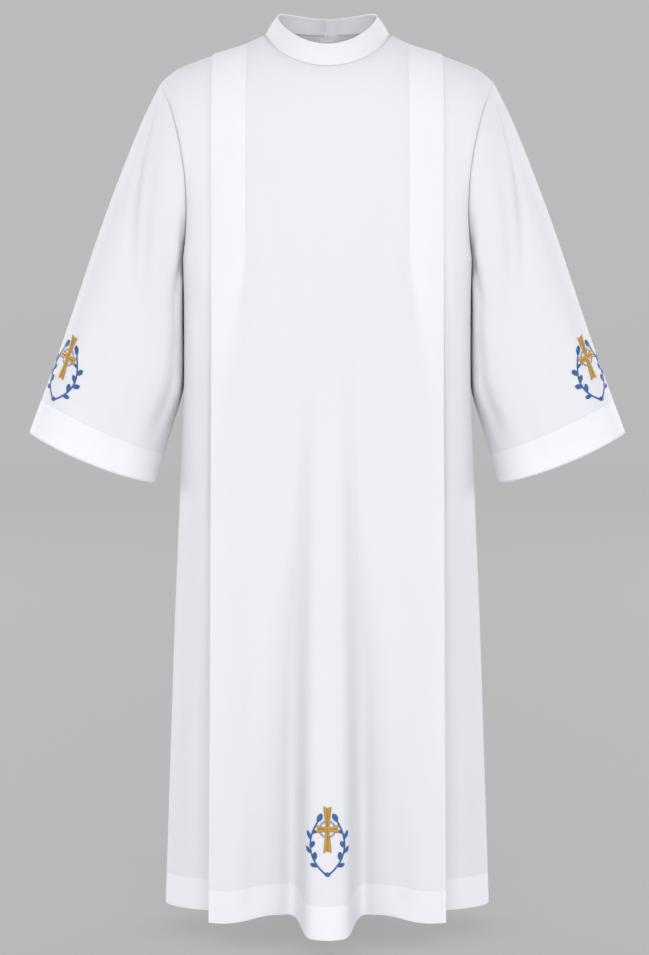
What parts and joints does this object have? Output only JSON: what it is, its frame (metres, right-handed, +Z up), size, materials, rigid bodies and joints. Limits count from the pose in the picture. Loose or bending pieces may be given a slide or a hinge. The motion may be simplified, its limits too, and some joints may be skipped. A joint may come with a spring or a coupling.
{
  "type": "alb robe",
  "caption": "Long hollow white church robe with a stand collar, wide set-in sleeves, stitched front and back pleats, deep hems and small embroidered emblems, in its worn form.",
  "frame": {"origin": "middle of the neckline, level with the neck ends of the shoulder seams, where the wearer's shoulders and neck hold the robe up", "axes": "+Z up along the wearer, +X to the wearer's left, -Y to the front"},
  "size_m": [0.931, 0.3256, 1.4086],
  "materials": {
    "white_cloth": "smooth matt polyester gabardine with a fine twill weave",
    "white_button": "polished white",
    "gold_thread": "satin stitch with a soft metallic sheen",
    "blue_thread": "satin stitch with a soft sheen",
    "silver_thread": "satin stitch with a soft sheen"
  },
  "bodies": {
    "root": {"front": "white_cloth", "back_left": "white_cloth", "back_right": "white_cloth", "sleeve_left": "white_cloth", "sleeve_right": "white_cloth", "collar": "white_cloth", "back_placket": "white_cloth", "collar_button": "white_button", "motif_front_cross": "gold_thread", "motif_front_wreath": "blue_thread", "motif_front_ring": "silver_thread", "motif_sleeve_left_cross": "gold_thread", "motif_sleeve_left_wreath": "blue_thread", "motif_sleeve_left_ring": "silver_thread", "motif_sleeve_right_cross": "gold_thread", "motif_sleeve_right_wreath": "blue_thread", "motif_sleeve_right_ring": "silver_thread"}
  },
  "joints": []
}
